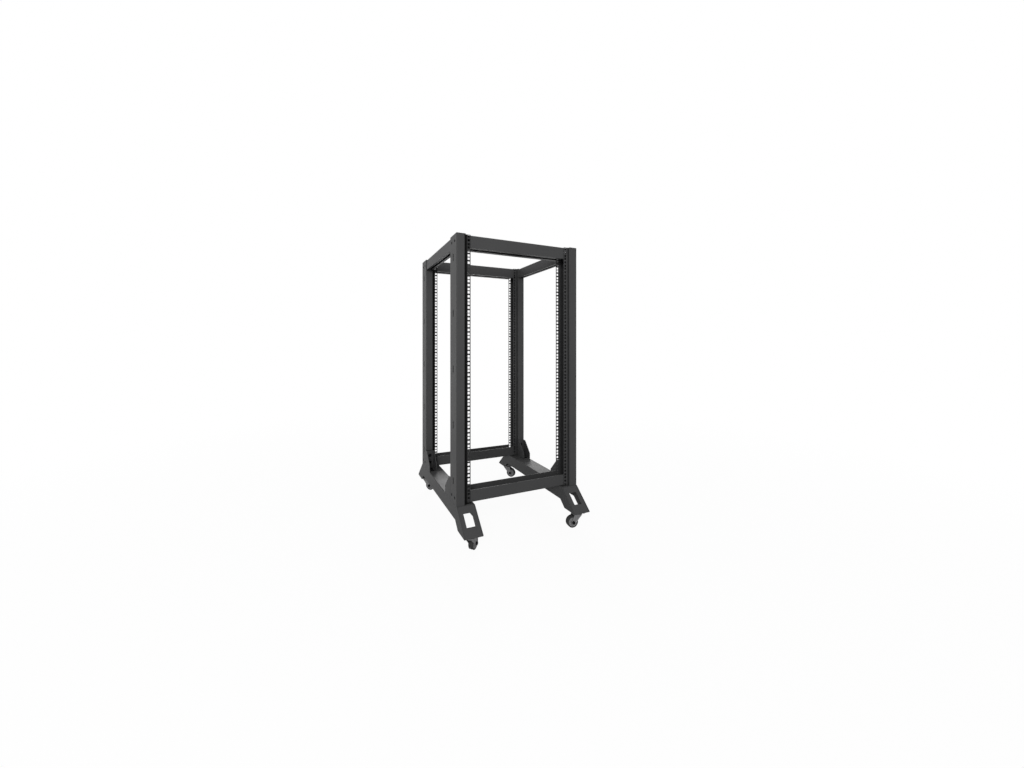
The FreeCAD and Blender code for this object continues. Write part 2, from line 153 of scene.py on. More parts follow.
class Finish(Recipe):
    """A material with one Principled shader, whose constants sit on its own sockets."""

    def __init__(self, name, **constants):
        self.material = bpy.data.materials.new(name)
        self.material.use_nodes = True
        super().__init__(self.material.node_tree)
        self.shader = self.tree.nodes["Principled BSDF"]
        for key, value in constants.items():
            self.shader.inputs[key.replace("_", " ")].default_value = value
        self.place = self.node("ShaderNodeTexCoord", {}, {}, "Object")

    def feed(self, socket, wire):
        """Link a varying value to the shader."""
        self.tree.links.new(wire.socket, self.shader.inputs[socket])

    def axis(self, name):
        """One coordinate of the surface's own place."""
        return self.node("ShaderNodeSeparateXYZ", {}, {0: self.place}, name)

    def noise(self, scale, detail=2.0, roughness=0.5, place=None):
        """A cloudy value over the surface, with so many ups and downs a metre."""
        return self.node("ShaderNodeTexNoise", {}, {
            "Vector": place or self.place, "Scale": scale, "Detail": detail,
            "Roughness": roughness})

    def spread(self, wire, low, high):
        """A value stretched so that low becomes 0 and high becomes 1."""
        return ((wire - low) * (1.0 / (high - low))).clamped()

    def stretched(self, scale):
        """Object coordinates scaled by three factors."""
        return self.node("ShaderNodeMapping", {}, {"Vector": self.place, "Scale": scale})

    def worn_edges(self, radius):
        """The normal over rounded edges, and a mask that is 1 on the edges."""
        soft = self.node("ShaderNodeBevel", {"samples": 6}, {"Radius": radius})
        flat = self.node("ShaderNodeNewGeometry", {}, {}, "Normal")
        same = self.node("ShaderNodeVectorMath", {"operation": "DOT_PRODUCT"},
                         {0: soft, 1: flat}, "Value")
        faint, full = 0.01, 0.16
        return soft, self.spread(1.0 - same, faint, full)

    def bump(self, height, depth, normal=None):
        """A normal raised by a height of 0 to 1, to a depth in metres."""
        sockets = {"Height": height, "Distance": depth, "Strength": 1.0}
        if normal is not None:
            sockets["Normal"] = normal
        return self.node("ShaderNodeBump", {}, sockets)


def shade(colour, factor):
    """A colour made lighter or darker, as a node socket takes it."""
    return (colour[0] * factor, colour[1] * factor, colour[2] * factor, 1.0)


# ---- finishes --------------------------------------------------------------------------------

def powder_coat(colours, name="powder_coat"):
    """Black powder coat: a fine pebbled skin, slightly uneven, thin and lighter along edges."""
    finish = Finish(name, IOR=1.3)
    soft, edge = finish.worn_edges(0.8 * MM)
    cloud = finish.noise(9.0, 3.0)
    pebble = finish.noise(1500.0, 2.0)
    orange_peel = finish.noise(420.0, 1.0)
    scuff = finish.spread(finish.noise(60.0, 4.0, 0.7), 0.5, 0.72)
    body = finish.mix(cloud, shade(colours.coat, 0.88), shade(colours.coat, 1.12))
    wear = (edge * (0.35 + scuff * 0.65)).clamped()
    finish.feed("Base Color", finish.mix(wear, body, shade(colours.coat_edge, 1.0)))
    finish.feed("Roughness", 0.44 + (cloud - 0.5) * 0.12 + pebble * 0.08 - wear * 0.12)
    skin = pebble * 0.6 + orange_peel * 0.4
    finish.feed("Normal", finish.bump(skin, 0.06 * MM, soft))
    return finish


def powder_coat_with_painted_shade(colours, name, corner, inside, flange):
    """The coat of a post with painted shade: it is mixed towards a dull black in the fold's corners, inside it and
    on its flanges, where shade falls.

    The three values say how much of that painted shade each of those places has, from 0 to 1.
    """
    finish = powder_coat(colours, name)
    low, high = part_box("post_front_right")
    skin, flange_width, holes_end, fade = 0.5 * MM, 29 * MM, 12 * MM, 5 * MM
    shallow, deep = 4 * MM, 26 * MM
    fold, past_holes = low.x + flange_width, low.x + holes_end

    # Across the rack from its middle, and in from the nearer end face of the post.
    across, along = abs(finish.axis("X")), abs(finish.axis("Y"))
    depth = (along + high.y).least(-low.y - along)
    # Each is 1 in its place: under the post's skin, past the fold beside the flange, close to
    # an end face, and past the unit holes.
    covered = finish.spread(depth, skin, 2 * skin) * finish.spread(
        high.x - across, skin, 2 * skin)
    beyond_fold = finish.spread(across, fold, fold + skin)
    near_face = 1.0 - finish.spread(depth, shallow, deep)
    beside_holes = finish.spread(across, past_holes, past_holes + fade)
    # Painted shade: where the occlusion finds a corner, inside the post near its end faces and on its flange, the
    # coat is mixed towards black as the post's own shade and cast shadow would fall.
    open_sky = finish.node("ShaderNodeAmbientOcclusion", {"samples": 8},
                           {"Distance": 12 * MM}, "AO")

    black = finish.spread(1.0 - open_sky, 0.10, 0.30) * corner
    black = black.most(covered * beyond_fold * near_face * inside)
    black = black.most((1.0 - beyond_fold) * (beside_holes * 0.6 + 0.4) * flange)
    # This near black diffuse is painted shade, not a colour of the coat.
    dull = finish.node("ShaderNodeBsdfDiffuse", {}, {"Color": (0.004, 0.004, 0.004, 1.0)})
    coat = Wire(finish, finish.shader.outputs[0])
    mixed = finish.node("ShaderNodeMixShader", {}, {0: black, 1: coat, 2: dull})
    finish.tree.links.new(mixed.socket, finish.tree.nodes["Material Output"].inputs["Surface"])
    return finish


def zinc_plate(colours):
    """Dark zinc on pressed steel: fine rolling lines, a cloudy skin and brighter edges."""
    finish = Finish("zinc_plate", Metallic=0.75)
    soft, edge = finish.worn_edges(0.4 * MM)
    lines = finish.noise(1.0, 3.0, 0.6, finish.stretched((900.0, 900.0, 120.0)))
    cloud = finish.noise(70.0, 3.0, 0.6)
    body = finish.mix(cloud, shade(colours.steel, 0.75), shade(colours.steel, 1.2))
    finish.feed("Base Color", finish.mix(edge * 0.5, body, shade(colours.steel, 1.7)))
    finish.feed("Roughness", 0.34 + cloud * 0.16 + lines * 0.1)
    finish.feed("Normal", finish.bump(lines, 0.02 * MM, soft))
    return finish


def dark_screw(colours):
    """Blackened steel of the screws and axles: dull black, a little lighter on its edges."""
    finish = Finish("dark_screw", IOR=1.06)
    soft, edge = finish.worn_edges(0.3 * MM)
    cloud = finish.noise(260.0, 3.0, 0.6)
    body = finish.mix(cloud, shade(colours.screw, 0.7), shade(colours.screw, 1.3))
    finish.feed("Base Color", finish.mix(edge * 0.6, body, shade(colours.screw, 3.0)))
    finish.feed("Roughness", 0.55 + cloud * 0.2)
    finish.feed("Normal", finish.bump(cloud, 0.02 * MM, soft))
    return finish


def moulded_grey(colours):
    """Grey nylon of the wheel centres: a satin skin with faint flow marks."""
    finish = Finish("moulded_grey", IOR=1.5)
    soft, edge = finish.worn_edges(0.4 * MM)
    flow = finish.noise(1.0, 2.0, 0.5, finish.stretched((60.0, 60.0, 220.0)))
    grain = finish.noise(1800.0, 1.0)
    body = finish.mix(flow, shade(colours.centre, 0.85), shade(colours.centre, 1.15))
    finish.feed("Base Color", finish.mix(edge * 0.4, body, shade(colours.centre, 1.6)))
    finish.feed("Roughness", 0.42 + grain * 0.12)
    finish.feed("Normal", finish.bump(grain, 0.02 * MM, soft))
    return finish


def tyre_rubber(colours):
    """Black rubber: matt, dusty where it rolls, with a fine grain."""
    finish = Finish("tyre_rubber", IOR=1.45)
    grain = finish.noise(1400.0, 3.0, 0.6)
    dust = finish.spread(finish.noise(110.0, 4.0, 0.65), 0.45, 0.75)
    finish.feed("Base Color", finish.mix(dust * 0.5, shade(colours.tyre, 1.0),
                                         shade(colours.tyre, 2.4)))
    finish.feed("Roughness", 0.62 + dust * 0.2)
    finish.feed("Normal", finish.bump(grain, 0.04 * MM))
    return finish


FINISHES = {
    "powder_coat": powder_coat,
    # Post coats with painted shade: a strong painted shadow for one pair of posts, a weaker painted shade for the
    # other.
    "powder_coat_groove": lambda colours: powder_coat_with_painted_shade(
        colours, "powder_coat_groove", corner=1.0, inside=0.6, flange=0.9),
    "powder_coat_recess": lambda colours: powder_coat_with_painted_shade(
        colours, "powder_coat_recess", corner=0.45, inside=0.4, flange=0.1),
    "zinc_plate": zinc_plate,
    "dark_screw": dark_screw,
    "moulded_grey": moulded_grey,
    "tyre_rubber": tyre_rubber,
}
# The left posts take the darker painted shadow, as though the light came from the left; the right posts take the
# lighter painted shade.
POST_FINISH = {"left": "powder_coat_groove", "right": "powder_coat_recess"}
NODE_FINISH = {"post_%s_%s" % (end, side): POST_FINISH[side] for end, side in CORNERS}
NODE_FINISH.update({"castor_axle_%s_%s" % corner: "dark_screw" for corner in CORNERS})
SLOT_FINISH = {
    "black_paint": "powder_coat",
    "castor_steel": "zinc_plate",
    "wheel_centre": "moulded_grey",
    "tyre_rubber": "tyre_rubber",
}


def finish_named(name):
    """The material of that name, made on first use."""
    found = bpy.data.materials.get(name)
    return found or FINISHES[name](bpy.context.scene.rack_colours).material


# ---- meshes ----------------------------------------------------------------------------------

def add_piece(name, mesh, body, finish, replaced=()):
    """A finished piece from a mesh that is already in its place."""
    mesh.materials.clear()
    mesh.materials.append(finish_named(finish))
    piece = bpy.data.objects.new(name, mesh)
    bpy.context.scene.collection.objects.link(piece)
    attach(piece, body)
    if replaced:
        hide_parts(*replaced)
    return piece


def mesh_from(name, build):
    """A mesh filled by a function, with its doubles merged and its faces turned outward."""
    work = bmesh.new()
    build(work)
    bmesh.ops.remove_doubles(work, verts=work.verts, dist=1e-6)
    bmesh.ops.recalc_face_normals(work, faces=work.faces)
    mesh = bpy.data.meshes.new(name)
    work.to_mesh(mesh)
    work.free()
    mesh.polygons.foreach_set("use_smooth", [True] * len(mesh.polygons))
    mesh.set_sharp_from_angle(angle=SHARP_ANGLE)
    return mesh


def wall(work, first, second):
    """Faces between two closed loops of as many points."""
    for k in range(len(first)):
        j = (k + 1) % len(first)
        work.faces.new([first[k], first[j], second[j], second[k]])


def lathe(work, profile, steps):
    """Turn a closed profile of (radius, height) about the local Z axis."""
    rings = []
    for radius, height in profile:
        rings.append([work.verts.new((radius * math.cos(2 * math.pi * k / steps),
                                      radius * math.sin(2 * math.pi * k / steps), height))
                      for k in range(steps)])
    for low, high in zip(rings, rings[1:] + rings[:1]):
        wall(work, low, high)


def mirrored(side):
    """A closed profile from its upper half."""
    return side + [(radius, -height) for radius, height in reversed(side)]


def arc(centre, radius, start, end, steps):
    """Points of an arc in a plane, by degrees."""
    return [(centre[0] + radius * math.cos(math.radians(start + (end - start) * k / steps)),
             centre[1] + radius * math.sin(math.radians(start + (end - start) * k / steps)))
            for k in range(steps + 1)]


def slab(work, outline, low, high):
    """A flat plate between two heights, from an outline in the local XY plane."""
    bottom = [work.verts.new((x, y, low)) for x, y in outline]
    top = [work.verts.new((x, y, high)) for x, y in outline]
    work.faces.new(list(reversed(bottom)))
    work.faces.new(top)
    wall(work, bottom, top)
    return bottom + top


def hull_of(circles, steps):
    """Which circle, and in which direction, bounds the hull of some circles, going round it."""
    found = []
    for k in range(steps):
        angle = 2 * math.pi * k / steps
        way = (math.cos(angle), math.sin(angle))
        reach = [x * way[0] + y * way[1] + radius for x, y, radius in circles]
        found.append((reach.index(max(reach)), way))
    rim = []
    for (circle, way), (following, _) in zip(found, found[1:] + found[:1]):
        rim.append((circle, way))
        if following != circle:
            rim.append((following, way))
    return rim


def volume_of(mesh):
    """The volume that a closed mesh bounds."""
    work = bmesh.new()
    work.from_mesh(mesh)
    volume = work.calc_volume()
    work.free()
    return volume


def mesh_of_node(node):
    """A copy of a node's mesh, in its place."""
    source = frame["nodes"][node]
    mesh = source.data.copy()
    mesh.transform(source.matrix_world)
    return mesh


def boxed(mesh, operation, boxes):
    """A mesh joined with, or cut by, some boxes given by their lowest and highest corners."""
    work = bmesh.new()
    for low, high in boxes:
        bmesh.ops.create_cube(work, size=1.0, matrix=Matrix.Translation((low + high) / 2)
                              @ Matrix.Diagonal((*(high - low), 1.0)))
    tools = bpy.data.meshes.new("boxes")
    work.to_mesh(tools)
    work.free()
    blank = bpy.data.objects.new("blank", mesh)
    tool = bpy.data.objects.new("tool", tools)
    for thing in (blank, tool):
        bpy.context.scene.collection.objects.link(thing)
    modifier = blank.modifiers.new("boxes", "BOOLEAN")
    modifier.operation = operation
    modifier.solver = "EXACT"
    modifier.object = tool
    depsgraph = bpy.context.evaluated_depsgraph_get()
    result = bpy.data.meshes.new_from_object(blank.evaluated_get(depsgraph))
    for thing in (blank, tool):
        bpy.data.objects.remove(thing)
    change = abs(volume_of(result) / volume_of(mesh) - 1.0)
    least, most = 0.001, 0.3
    if not least < change < most:
        raise RuntimeError("the %s with boxes changed a mesh by %.4f" % (operation, change))
    return result


def lips(sizes, low, high, run, width, reach):
    """The two edges turned in under a channel that runs along X (0) or Y (1), as boxes."""
    across = 1 - run
    boxes = []
    for near, far in ((low[across] + sizes.lip_seat, low[across] + width),
                      (high[across] - width, high[across] - sizes.lip_seat)):
        first = Vector((0.0, 0.0, low.z + sizes.lip_seat))
        last = Vector((0.0, 0.0, low.z + sizes.sheet))
        first[run], last[run] = -reach, reach
        first[across], last[across] = near, far
        boxes.append((first, last))
    return boxes


def frame_of(origin, forward, up):
    """The matrix whose X axis is forward and whose Z axis is up, at an origin."""
    z = Vector(up).normalized()
    x = Vector(forward).normalized()
    turn = Matrix((x, z.cross(x), z)).transposed()
    return Matrix.Translation(Vector(origin)) @ turn.to_4x4()


# ---- screws by geometry nodes ----------------------------------------------------------------

class Growth(Recipe):
    """A geometry node group with named inputs for its sizes."""

    def __init__(self, name):
        group = bpy.data.node_groups.new(name, "GeometryNodeTree")
        super().__init__(group)
        self.keys = {}
        self.socket("Geometry", "NodeSocketGeometry", None)
        group.interface.new_socket("Geometry", in_out="OUTPUT", socket_type="NodeSocketGeometry")
        self.source = group.nodes.new("NodeGroupInput")
        self.end = group.nodes.new("NodeGroupOutput")

    def socket(self, name, kind, default):
        """Add a named input, and keep the identifier by which a modifier sets it."""
        made = self.tree.interface.new_socket(name, in_out="INPUT", socket_type=kind)
        if default is not None:
            made.default_value = default
        self.keys[name] = made.identifier

    def given(self, name):
        """What a named input brings."""
        return Wire(self, self.source.outputs[name])

    def joined(self, *wires):
        """Several meshes as one."""
        made = self.tree.nodes.new("GeometryNodeJoinGeometry")
        for wire in reversed(wires):
            self.tree.links.new(wire.socket, made.inputs[0])
        return Wire(self, made.outputs[0])

    def upward(self, z):
        """A vector along Z."""
        return self.node("ShaderNodeCombineXYZ", {}, {"Z": z})

    def finish(self, wire):
        """Realize what was grown, give it its material and end the tree."""
        real = self.node("GeometryNodeRealizeInstances", {}, {0: wire})
        painted = self.node("GeometryNodeSetMaterial", {},
                            {"Geometry": real, "Material": self.given("Material")})
        self.tree.links.new(painted.socket, self.end.inputs[0])


def screw_growth():
    """A screw on each point, along the point's own direction: washer, head and key socket."""
    grown = Growth("screws_on_points")
    for name, default in (("Head Diameter", 10 * MM), ("Top Diameter", 8 * MM),
                          ("Head Height", 3 * MM), ("Key Diameter", 4.6 * MM),
                          ("Key Depth", 1.5 * MM), ("Washer Diameter", 12 * MM),
                          ("Washer Height", 1 * MM)):
        grown.socket(name, "NodeSocketFloat", default)
    grown.socket("Head Sides", "NodeSocketInt", 24)
    grown.socket("Key Sides", "NodeSocketInt", 6)
    grown.socket("Material", "NodeSocketMaterial", None)

    washer = grown.node("GeometryNodeMeshCylinder", {}, {
        "Vertices": 24, "Radius": grown.given("Washer Diameter") / 2.0,
        "Depth": grown.given("Washer Height")})
    washer = grown.node("GeometryNodeTransform", {}, {
        "Geometry": washer, "Translation": grown.upward(grown.given("Washer Height") / 2.0)})
    head = grown.node("GeometryNodeMeshCone", {}, {
        "Vertices": grown.given("Head Sides"), "Radius Top": grown.given("Top Diameter") / 2.0,
        "Radius Bottom": grown.given("Head Diameter") / 2.0, "Depth": grown.given("Head Height")})
    head = grown.node("GeometryNodeTransform", {}, {
        "Geometry": head, "Translation": grown.upward(grown.given("Washer Height"))})
    key = grown.node("GeometryNodeMeshCylinder", {}, {
        "Vertices": grown.given("Key Sides"), "Radius": grown.given("Key Diameter") / 2.0,
        "Depth": grown.given("Key Depth") * 2.0})
    key = grown.node("GeometryNodeTransform", {}, {
        "Geometry": key,
        "Translation": grown.upward(grown.given("Washer Height") + grown.given("Head Height"))})
    head = grown.node("GeometryNodeMeshBoolean", {"operation": "DIFFERENCE"},
                      {"Mesh 1": head, "Mesh 2": key})
    way = grown.node("GeometryNodeInputNamedAttribute", {"data_type": "FLOAT_VECTOR"},
                     {"Name": "direction"})
    turn = grown.node("FunctionNodeAlignRotationToVector", {"axis": "Z"}, {"Vector": way})
    placed = grown.node("GeometryNodeInstanceOnPoints", {}, {
        "Points": grown.given("Geometry"), "Instance": grown.joined(washer, head),
        "Rotation": turn})
    grown.finish(placed)
    return grown


# The geometry trees made so far, by the name of the function that makes each.
GROWTHS = {}


def grow(name, make, mesh, values, finish):
    """Run a geometry tree on a mesh and return the result as a plain mesh."""
    if make.__name__ not in GROWTHS:
        GROWTHS[make.__name__] = make()
    grown = GROWTHS[make.__name__]
    seed = bpy.data.objects.new(name + "_seed", mesh)
    bpy.context.scene.collection.objects.link(seed)
    modifier = seed.modifiers.new("growth", "NODES")
    modifier.node_group = grown.tree
    for key, value in dict(values, Material=finish_named(finish)).items():
        modifier[grown.keys[key]] = value
    depsgraph = bpy.context.evaluated_depsgraph_get()
    result = bpy.data.meshes.new_from_object(seed.evaluated_get(depsgraph))
    result.name = name
    seed.modifiers.clear()
    bpy.data.objects.remove(seed)
    if not result.polygons:
        raise RuntimeError(name + " grew nothing")
    return result


def points_mesh(name, places):
    """A mesh of loose points, each with a direction, from (place, direction) pairs."""
    mesh = bpy.data.meshes.new(name)
    mesh.from_pydata([tuple(place) for place, _ in places], [], [])
    way = mesh.attributes.new("direction", "FLOAT_VECTOR", "POINT")
    way.data.foreach_set("vector", [c for _, direction in places for c in direction])
    return mesh


def add_screws(name, places, sizes, finish="dark_screw"):
    """One piece on the frame, with a screw at every place."""
    values = {"Head Diameter": sizes.head, "Top Diameter": sizes.top,
              "Head Height": sizes.height, "Key Diameter": sizes.key,
              "Key Depth": sizes.key_depth, "Washer Diameter": sizes.washer,
              "Washer Height": sizes.washer_height, "Head Sides": sizes.sides,
              "Key Sides": sizes.key_sides}
    mesh = grow(name, screw_growth, points_mesh(name + "_points", places), values, finish)
    return add_piece(name, mesh, "frame", finish)


# ---- properties ------------------------------------------------------------------------------

def length(name, description, value):
    """A property that holds a length in metres."""
    return FloatProperty(name=name, description=description, default=value, min=0.0,
                         subtype="DISTANCE", unit="LENGTH")


def colour(name, description, value):
    """A property that holds a linear colour."""
    return FloatVectorProperty(name=name, description=description, default=value, min=0.0,
                               max=1.0, size=3, subtype="COLOR")


class RackColours(bpy.types.PropertyGroup):
    """Colours of the finishes."""
    coat: colour("Powder coat", "Black of the folded steel", (0.060, 0.060, 0.061))
    coat_edge: colour("Coat on edges", "Thin coat along the edges", (0.085, 0.085, 0.087))
    steel: colour("Zinc plate", "Pressed steel of the castors", (0.24, 0.24, 0.243))
    screw: colour("Screws", "Blackened steel", (0.012, 0.012, 0.013))
    centre: colour("Wheel centre", "Moulded wheel centre", (0.33, 0.33, 0.335))
    tyre: colour("Tyre", "Black rubber", (0.026, 0.026, 0.027))


class ScrewSizes(bpy.types.PropertyGroup):
    """Sizes of one kind of screw."""
    head: length("Head", "Width of the head where it bears", 10 * MM)
    top: length("Top", "Width of the head at its top", 9 * MM)
    height: length("Height", "Height of the head", 3 * MM)
    key: length("Key", "Width of the key socket across its corners", 4.6 * MM)
    key_depth: length("Key depth", "Depth of the key socket", 1.5 * MM)
    washer: length("Washer", "Width of the washer", 12 * MM)
    washer_height: length("Washer height", "Thickness of the washer", 1 * MM)
    sides: IntProperty(name="Sides", description="Sides of the head", default=24, min=6)
    key_sides: IntProperty(name="Key sides", description="Sides of the key socket", default=6,
                           min=3)


class ScrewPlaces(bpy.types.PropertyGroup):
    """Where the screws and bolts go."""
    post_apart: length("Post apart", "From a post's middle to each of its screws", 18 * MM)
    post_sunk: length("Post sunk", "How deep the feet of the post screws' heads lie under the "
                      "side of the post, beside their own height", 0.35 * MM)
    gusset_low: length("Gusset low", "Height of a gusset's lower bolt", 32 * MM)
    gusset_high: length("Gusset high", "Height of a gusset's upper bolt", 66 * MM)
    base_near: length("Base near", "From a gusset's wall to its nearer base bolt", 22 * MM)
    base_far: length("Base far", "From a gusset's wall to its farther base bolt", 48 * MM)
    gusset_sheet: length("Gusset sheet", "Thickness of a gusset", 2.5 * MM)
    rail_drop: length("Rail drop", "From the top of a top rail to its bolts", 21 * MM)
    rail_sheet: length("Rail sheet", "Thickness of a top rail", 2 * MM)
    castor_across: length("Castor across", "From a kingpin to its bolts, across", 18 * MM)
    castor_along: length("Castor along", "From a kingpin to its bolts, front to rear", 21 * MM)
    castor_sheet: length("Castor sheet", "Thickness of the shelf and of the castor plate",
                         2.5 * MM)


class BeamSizes(bpy.types.PropertyGroup):
    """Sizes of the beams and top rails that the frame doesn't give."""
    sheet: length("Sheet", "Thickness of the beams and rails", 2 * MM)
    lap: length("Lap", "How far a wall reaches behind the flange of a post", 1.2 * MM)
    tongue: length("Tongue", "Half the width of the tongue that goes into a post", 24.6 * MM)
    lip: length("Lip", "How far an upper beam's lower edges turn in", 17 * MM)
    rail_lip: length("Rail lip", "How far a top rail's lower edges turn in", 11 * MM)
    lip_gap: length("Lip gap", "From the end of a lip to the post or the tab", 3 * MM)
    lip_seat: length("Lip seat", "How far inside a wall's outer face a lip starts", 0.15 * MM)
    crest: length("Crest", "Depth of the rounded top of an upper beam", 4 * MM)
    rise: length("Rise", "How much nearer the posts' tops the upper beams reach", 1.6 * MM)


class CastorSizes(bpy.types.PropertyGroup):
    """Sizes of the wheels and forks that the frame doesn't give."""
    wheel: length("Wheel", "Radius of the wheel", 25 * MM)
    rim: length("Rim", "Radius of the wheel centre, where the tyre begins", 19 * MM)
    tyre_half: length("Tyre half", "Half the width of the tyre", 10 * MM)
    shoulder: length("Shoulder", "Rounding of the tyre's shoulders", 2.6 * MM)
    groove: length("Groove", "Depth of the mould line round the tread", 0.25 * MM)
    ribs: IntProperty(name="Ribs", description="Ribs of a wheel centre", default=8, min=3)
    rib_width: length("Rib", "Thickness of a rib", 1.6 * MM)
    fork_sheet: length("Fork sheet", "Thickness of a fork", 2.5 * MM)
    fork_inside: length("Fork inside", "Half the clear width between a fork's legs", 12 * MM)
    kingpin: length("Kingpin hole", "Radius of the hole in a crown", 5.05 * MM)
    crown: length("Crown", "Radius of a fork's crown", 22 * MM)
    leg_end: length("Leg end", "Radius of a fork leg round the axle", 10 * MM)
    leg_head: length("Leg head", "Half the width of a fork leg under the crown", 16.5 * MM)
    leg_bead: length("Leg bead", "Height of the bead along a leg's edge", 1.1 * MM)
    crown_lip: length("Crown lip", "Depth of the lip round the crown", 4 * MM)


class StageSizes(bpy.types.PropertyGroup):
    """The studio round the rack."""
    floor: length("Floor", "Length and width of the floor", 60.0)
    fade: length("Fade", "Distance at which the floor's shadow has faded out", 3.0)


# ---- operators -------------------------------------------------------------------------------

class RACK_OT_finish_frame(bpy.types.Operator):
    """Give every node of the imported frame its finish"""
    bl_idname = "rack.finish_frame"
    bl_label = "Finish the frame"

    def execute(self, context):
        slots = {row["node"]: row["material_slot"] for row in frame["record"]["subparts"]}
        for node, thing in frame["nodes"].items():
            finish = finish_named(NODE_FINISH.get(node, SLOT_FINISH[slots[node]]))
            for place in thing.material_slots:
                place.material = finish
        return {"FINISHED"}


class RACK_OT_notched_beams(bpy.types.Operator):
    """Notch the beams' walls behind the unit holes and turn the upper beams' edges in"""
    bl_idname = "rack.notched_beams"
    bl_label = "Notched beams"

    def execute(self, context):
        sizes = context.scene.rack_beam
        for end in ENDS:
            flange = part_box("post_%s_right" % end)[0].x
            for level in ("top", "bottom"):
                self.shell(sizes, flange, node="beam_%s_%s" % (end, level),
                           name="beam_shell_%s_%s" % (end, level), upper=level == "top")
        return {"FINISHED"}

    def shell(self, sizes, flange, node, name, upper):
        """A beam with notched walls, which has lips and a raised top if it is an upper one."""
        low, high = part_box(node)
        mesh = mesh_of_node(node)
        if upper:
            mesh = boxed(mesh, "UNION", lips(sizes, low, high, run=0, width=sizes.lip,
                                             reach=flange - sizes.lip_gap))
        mesh = boxed(mesh, "DIFFERENCE", self.notches(sizes, low, high, flange))
        if upper:
            for vertex in mesh.vertices:
                if vertex.co.z > high.z - sizes.crest:
                    vertex.co.z += sizes.rise
        add_piece(name, mesh, "frame", "powder_coat", [node])

    @staticmethod
    def notches(sizes, low, high, flange):
        """What is cut from the walls beyond the lap, leaving a tongue for each post."""
        middle, half = (low.y + high.y) / 2, (high.y - low.y) / 2
        boxes = []
        for out in (-1, 1):
            for way in (-1, 1):
                x = sorted((out * (flange + sizes.lap), out * (high.x + sizes.lap)))
                y = sorted((middle + way * sizes.tongue, middle + way * (half + sizes.lap)))
                boxes.append((Vector((x[0], y[0], low.z - sizes.lap)),
                              Vector((x[1], y[1], high.z + sizes.lap))))
        return boxes


class RACK_OT_lipped_rails(bpy.types.Operator):
    """Turn in the lower edges of the top rails"""
    bl_idname = "rack.lipped_rails"
    bl_label = "Lipped top rails"

    def execute(self, context):
        sizes = context.scene.rack_beam
        for side in SIDES:
            node = "top_rail_" + side
            low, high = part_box(node)
            turned_in = lips(sizes, low, high, run=1, width=sizes.rail_lip,
                             reach=high.y - sizes.lip_gap)
            add_piece("top_rail_shell_" + side, boxed(mesh_of_node(node), "UNION", turned_in),
                      "frame", "powder_coat", [node])
        return {"FINISHED"}


class RACK_OT_post_screws(bpy.types.Operator):
    """Set two countersunk screws into each end of every post, where the beams' tabs are"""
    bl_idname = "rack.post_screws"
    bl_label = "Post screws"

    def execute(self, context):
        screw, where = context.scene.rack_post_screw, context.scene.rack_places
        places = []
        for end, side in CORNERS:
            low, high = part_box("post_%s_%s" % (end, side))
            out = SIDES[side]
            face = high.x if out > 0 else low.x
            foot = face - out * (screw.height + where.post_sunk)
            middle = (low.y + high.y) / 2
            for level in ("top", "bottom"):
                beam_low, beam_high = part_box("beam_%s_%s" % (end, level))
                height = (beam_low.z + beam_high.z) / 2
                for apart in (-where.post_apart, where.post_apart):
                    places.append((Vector((foot, middle + apart, height)),
                                   Vector((out, 0, 0))))
        add_screws("post_screws", places, screw)
        return {"FINISHED"}


class RACK_OT_gusset_bolts(bpy.types.Operator):
    """Bolt each gusset to its post and to the base rail"""
    bl_idname = "rack.gusset_bolts"
    bl_label = "Gusset bolts"

    def execute(self, context):
        where = context.scene.rack_places
        places = []
        for end, side in CORNERS:
            low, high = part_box("gusset_%s_%s" % (end, side))
            middle = (low.x + high.x) / 2
            inward = -ENDS[end]
            face = (high.y if inward < 0 else low.y) + inward * where.gusset_sheet
            for height in (where.gusset_low, where.gusset_high):
                places.append((Vector((middle, face, low.z + height)),
                               Vector((0, inward, 0))))
            for along in (where.base_near, where.base_far):
                places.append((Vector((middle, face + inward * along,
                                       low.z + where.gusset_sheet)), Vector((0, 0, 1))))
        add_screws("gusset_bolts", places, context.scene.rack_bolt)
        return {"FINISHED"}


class RACK_OT_rail_bolts(bpy.types.Operator):
    """Bolt the tabs of the top rails to the posts"""
    bl_idname = "rack.rail_bolts"
    bl_label = "Top rail bolts"

    def execute(self, context):
        where = context.scene.rack_places
        places = []
        for side in SIDES:
            low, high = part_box("top_rail_" + side)
            middle = (low.x + high.x) / 2
            for face, way in ((low.y + where.rail_sheet, 1), (high.y - where.rail_sheet, -1)):
                places.append((Vector((middle, face, high.z - where.rail_drop)),
                               Vector((0, way, 0))))
        add_screws("top_rail_bolts", places, context.scene.rack_bolt)
        return {"FINISHED"}


class RACK_OT_castor_bolts(bpy.types.Operator):
    """Hold each castor plate by four bolts, heads on the shelf and nuts under the plate"""
    bl_idname = "rack.castor_bolts"
    bl_label = "Castor bolts"

    def execute(self, context):
        where = context.scene.rack_places
        heads, nuts = [], []
        for end, side in CORNERS:
            pivot = Vector(JOINTS["swivel_%s_%s" % (end, side)]["pos_m"])
            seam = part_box("castor_mount_%s_%s" % (end, side))[1].z
            for x in (-where.castor_across, where.castor_across):
                for y in (-where.castor_along, where.castor_along):
                    for places, way in ((heads, 1), (nuts, -1)):
                        places.append((Vector((pivot.x + x, pivot.y + y,
                                               seam + way * where.castor_sheet)),
                                       Vector((0, 0, way))))
        add_screws("castor_bolt_heads", heads, context.scene.rack_bolt)
        add_screws("castor_bolt_nuts", nuts, context.scene.rack_nut, "zinc_plate")
        return {"FINISHED"}


